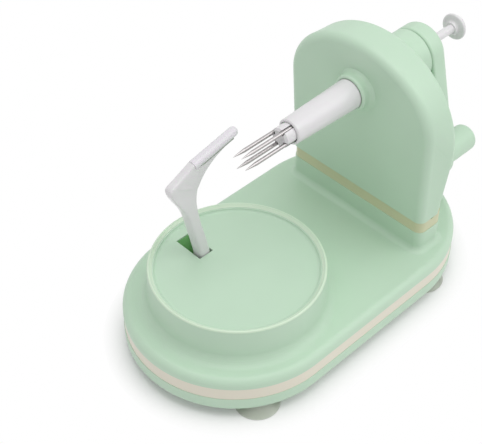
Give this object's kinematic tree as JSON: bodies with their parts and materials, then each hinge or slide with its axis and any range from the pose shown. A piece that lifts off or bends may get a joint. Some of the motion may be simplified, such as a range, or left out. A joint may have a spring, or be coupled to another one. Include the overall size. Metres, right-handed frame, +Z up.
{
  "type": "apple peeler",
  "caption": "Hand cranked apple peeler: a geared fork spins the fruit while a turntable carries a sprung blade arm around it, on a base with suction feet.",
  "frame": {"origin": "centre of the bounding box in X and Y, on the table that the suction feet stand on", "axes": "+X to the right seen from the turntable end, +Y from the turntable to the tower and crank, +Z up"},
  "size_m": [0.128, 0.2466, 0.1555],
  "materials": {
    "shell_green": "satin",
    "trim_cream": "satin",
    "foot_rubber": "soft translucent",
    "white_plastic": "satin",
    "fork_steel": "drawn",
    "hardware_steel": "plain",
    "gear_acetal": "moulded"
  },
  "bodies": {
    "frame": {"base_tray": "shell_green", "base_trim_band": "trim_cream", "base_top_shell": "shell_green", "suction_foot_1": "foot_rubber", "suction_foot_2": "foot_rubber", "suction_foot_3": "foot_rubber", "suction_foot_4": "foot_rubber", "tray_screws": "hardware_steel", "tower_trim_band": "trim_cream", "tower_housing": "shell_green", "tower_rear_cover": "shell_green", "tower_cover_screws": "hardware_steel", "tower_base_screws": "hardware_steel", "spindle_front_bush": "gear_acetal", "spindle_rear_bush": "gear_acetal", "idler_axle": "hardware_steel", "layshaft_front_bearing": "gear_acetal", "layshaft_rear_bearing": "gear_acetal", "turntable_post": "hardware_steel", "turntable_post_screw": "hardware_steel", "thrust_washer": "gear_acetal"},
    "spindle": {"spindle_tube": "white_plastic", "fork_prong_1": "fork_steel", "fork_prong_2": "fork_steel", "fork_prong_3": "fork_steel", "fork_prong_4": "fork_steel", "spindle_gear": "gear_acetal", "crank_arm": "shell_green", "crank_grub_screw": "hardware_steel", "grip_axle": "hardware_steel"},
    "grip": {"crank_grip": "shell_green", "grip_end_plug": "shell_green"},
    "ejector": {"ejector_pusher": "white_plastic", "ejector_rod": "white_plastic", "ejector_knob": "white_plastic"},
    "idler": {"idler_gear": "gear_acetal"},
    "layshaft": {"layshaft": "hardware_steel", "layshaft_gear": "gear_acetal", "worm": "gear_acetal"},
    "turntable": {"turntable_disc": "shell_green", "turntable_hub": "gear_acetal", "turntable_screws": "hardware_steel", "worm_wheel": "gear_acetal", "arm_pivot_pin": "hardware_steel", "arm_spring": "hardware_steel"},
    "arm": {"peeler_arm": "white_plastic", "blade_bar": "white_plastic", "blade": "fork_steel", "blade_rivets": "hardware_steel"}
  },
  "joints": [
    {"name": "crank_turn", "type": "hinge", "parent": "frame", "child": "spindle", "pos_m": [0, 0.04847, 0.126], "axis": [0, -1, 0], "range_deg": [-411, 2057]},
    {"name": "idler_spin", "type": "hinge", "parent": "frame", "child": "idler", "pos_m": [0, 0.04847, 0.06443], "axis": [0, -1, 0], "range_deg": [-1067, 214]},
    {"name": "layshaft_spin", "type": "hinge", "parent": "frame", "child": "layshaft", "pos_m": [0.03236, 0.04847, 0.02302], "axis": [0, -1, 0], "range_deg": [-720, 3600]},
    {"name": "turntable_turn", "type": "hinge", "parent": "frame", "child": "turntable", "pos_m": [0, -0.05752, 0.05], "axis": [0, 0, 1], "range_deg": [-20, 100]},
    {"name": "grip_spin", "type": "hinge", "parent": "spindle", "child": "grip", "pos_m": [0.02189, 0.09847, 0.05741], "axis": [0, -1, 0], "continuous": true},
    {"name": "ejector_push", "type": "slide", "parent": "spindle", "child": "ejector", "axis": [0, -1, 0], "range_m": [0, 0.022]},
    {"name": "arm_swing", "type": "hinge", "parent": "turntable", "child": "arm", "pos_m": [-0.024, -0.06232, 0.032], "axis": [0, -1, 0], "range_deg": [0, 28], "stiffness_Nm_per_rad": 0.12, "springref_deg": -28.65, "deforming": ["arm_spring"]}
  ],
  "couplings": [
    {"joint": "idler_spin", "follows": "crank_turn", "ratio": -0.51852},
    {"joint": "layshaft_spin", "follows": "crank_turn", "ratio": 1.75},
    {"joint": "turntable_turn", "follows": "crank_turn", "ratio": 0.048611}
  ]
}
